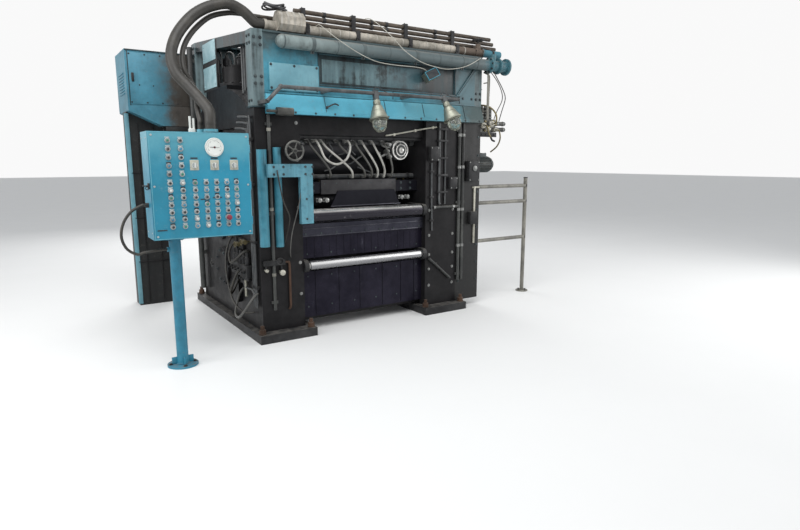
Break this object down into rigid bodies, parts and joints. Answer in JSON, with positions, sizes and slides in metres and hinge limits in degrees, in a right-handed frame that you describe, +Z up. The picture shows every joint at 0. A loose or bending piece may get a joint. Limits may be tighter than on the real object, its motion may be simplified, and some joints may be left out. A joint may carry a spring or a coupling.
{
  "type": "four-high rolling mill stand",
  "caption": "Rolling mill stand: closed-top housings with stacked rolls and chocks, blue top beam, guide rolls, lamps, duct, side cabinet and a control panel on a post.",
  "frame": {"origin": "on the floor, at the centre of the foundation bolts, midway between the two housings", "axes": "+X to the right along the rolls as seen from the front, -Y to the front where the guide rolls are, +Z up"},
  "size_m": [4.7687, 2.9174, 2.996],
  "materials": {
    "greasy_casting": "black oily grime over old paint",
    "dark_steel": "dull dark steel",
    "oily_plate": "dark oily plate with drips",
    "roll_steel": "ground and oily",
    "bright_roll": "polished",
    "bright_pipe": "dull grey pipe",
    "clear_hose": "cloudy hose",
    "blue_paint": "machine blue, worn and greasy",
    "grey_blue_paint": "faded grey blue",
    "beige_pipe": "dusty lagging",
    "lamp_metal": "spun, dusty",
    "panel_blue": "bright blue enamel, scuffed",
    "dial_white": "white face",
    "button_plastic": "mixed button caps",
    "black_rubber": "dull black"
  },
  "bodies": {
    "stand": {"left_housing": "greasy_casting", "right_housing": "greasy_casting", "sole_plates": "dark_steel", "cross_ties": "greasy_casting", "backup_rolls": "roll_steel", "work_rolls": "roll_steel", "backup_chocks": "greasy_casting", "work_chocks": "dark_steel", "screw_cylinders": "dark_steel", "guide_roll_bearings": "dark_steel", "strip_tables": "oily_plate", "drip_plates": "oily_plate", "header_plates": "oily_plate", "spray_header": "bright_pipe", "spray_hoses": "clear_hose", "l_bracket": "blue_paint", "post_covers": "blue_paint", "handwheel_box": "dark_steel", "corner_posts": "grey_blue_paint", "front_beam": "blue_paint", "beam_apron": "blue_paint", "rear_beam": "blue_paint", "side_rails": "blue_paint", "accumulators": "grey_blue_paint", "drive_shelf": "greasy_casting", "exhaust_duct": "grey_blue_paint", "top_pipes": "beige_pipe", "slim_pipes": "dark_steel", "pipe_saddles": "dark_steel", "lamp_rail": "bright_pipe", "work_lamps": "lamp_metal", "lamp_globes": "dial_white", "vertical_pipes": "bright_pipe", "valves": "dark_steel", "guard_frame": "bright_pipe", "control_panel": "panel_blue", "panel_pedestal": "panel_blue", "panel_dial": "dial_white", "panel_controls": "button_plastic", "panel_hoses": "black_rubber", "panel_cable": "black_rubber", "rear_cabinet": "blue_paint", "cabinet_column": "greasy_casting"},
    "upper_roll": {"upper_guide_roll": "bright_roll"},
    "lower_roll": {"lower_guide_roll": "bright_roll"},
    "wheel": {"handwheel": "dark_steel"}
  },
  "joints": [
    {"name": "upper_roll_spin", "type": "hinge", "parent": "stand", "child": "upper_roll", "pos_m": [0, -0.93, 1.13], "axis": [1, 0, 0], "continuous": true},
    {"name": "lower_roll_spin", "type": "hinge", "parent": "stand", "child": "lower_roll", "pos_m": [0, -0.93, 0.655], "axis": [1, 0, 0], "continuous": true},
    {"name": "handwheel_turn", "type": "hinge", "parent": "stand", "child": "wheel", "pos_m": [-0.83, -1.095, 1.73], "axis": [0, 1, 0], "continuous": true}
  ]
}
